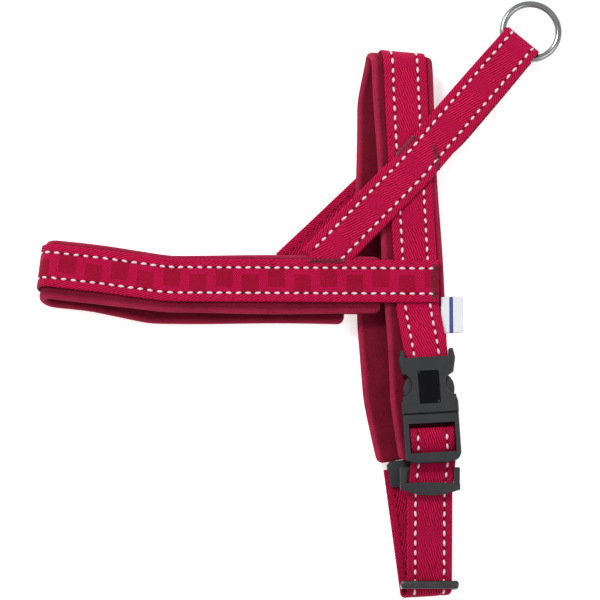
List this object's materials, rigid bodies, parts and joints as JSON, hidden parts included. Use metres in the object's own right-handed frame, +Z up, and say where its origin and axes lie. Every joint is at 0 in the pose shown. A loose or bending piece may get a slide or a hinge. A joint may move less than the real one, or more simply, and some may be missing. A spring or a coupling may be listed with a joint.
{
  "type": "dog harness",
  "caption": "Padded webbing dog harness laid flat: chest and girth loops, lead strap with O-ring, side-release buckle and adjustable belly strap.",
  "frame": {"origin": "middle of the laid-out harness's footprint, on the surface that it lies on", "axes": "+X from the chest loop's fold towards the girth strap, +Y towards the dog's back and the ring, +Z up from the surface"},
  "size_m": [0.2964, 0.336, 0.0259],
  "materials": {
    "webbing": "twill-woven polyester",
    "lining": "smooth soft lining",
    "foam": "soft closed-cell foam",
    "plastic": "matte moulded acetal",
    "inset": "gloss inset plate",
    "ring_steel": "polished steel",
    "slider_steel": "dark nickel-plated steel",
    "tag": "woven satin",
    "thread": "dense zigzag stitching"
  },
  "bodies": {
    "harness": {"girth_pad": "lining", "girth_foam": "foam", "girth_webbing": "webbing", "chest_pad": "lining", "chest_foam": "foam", "chest_webbing": "webbing", "lead_strap": "webbing", "buckle_female": "plastic", "buckle_label": "inset", "far_hook": "plastic", "side_tag": "tag", "bar_tacks": "thread"},
    "ring": {"o_ring": "ring_steel"},
    "male_half": {"buckle_male": "plastic", "belly_strap": "webbing"},
    "left_prong": {"prong_left": "plastic"},
    "right_prong": {"prong_right": "plastic"},
    "keeper": {"keeper_loop": "plastic"},
    "slider": {"strap_slider": "slider_steel"}
  },
  "joints": [
    {"name": "ring_swing", "type": "hinge", "parent": "harness", "child": "ring", "pos_m": [0.12239, 0.14064, 0.0073], "axis": [0.7639, -0.6453, 0], "range_deg": [-85, 85]},
    {"name": "buckle_release", "type": "slide", "parent": "harness", "child": "male_half", "axis": [0.061, -0.9981, 0], "range_m": [0, 0.027], "deforming": ["prong_left", "prong_right"]},
    {"name": "right_prong_squeeze", "type": "hinge", "parent": "male_half", "child": "right_prong", "pos_m": [0.07988, -0.07048, 0.0214], "axis": [0, 0, 1], "range_deg": [0, 8], "stiffness_Nm_per_rad": 0.5},
    {"name": "left_prong_squeeze", "type": "hinge", "parent": "male_half", "child": "left_prong", "pos_m": [0.06311, -0.0715, 0.0214], "axis": [0, 0, -1], "range_deg": [0, 8], "stiffness_Nm_per_rad": 0.5},
    {"name": "keeper_slide", "type": "slide", "parent": "male_half", "child": "keeper", "axis": [0, -0.9884, -0.1522], "range_m": [0, 0.02]},
    {"name": "slider_adjust", "type": "slide", "parent": "male_half", "child": "slider", "axis": [0, 0.9884, 0.1522], "range_m": [0, 0.022]}
  ],
  "couplings": [
    {"joint": "left_prong_squeeze", "follows": "right_prong_squeeze", "ratio": 1}
  ]
}
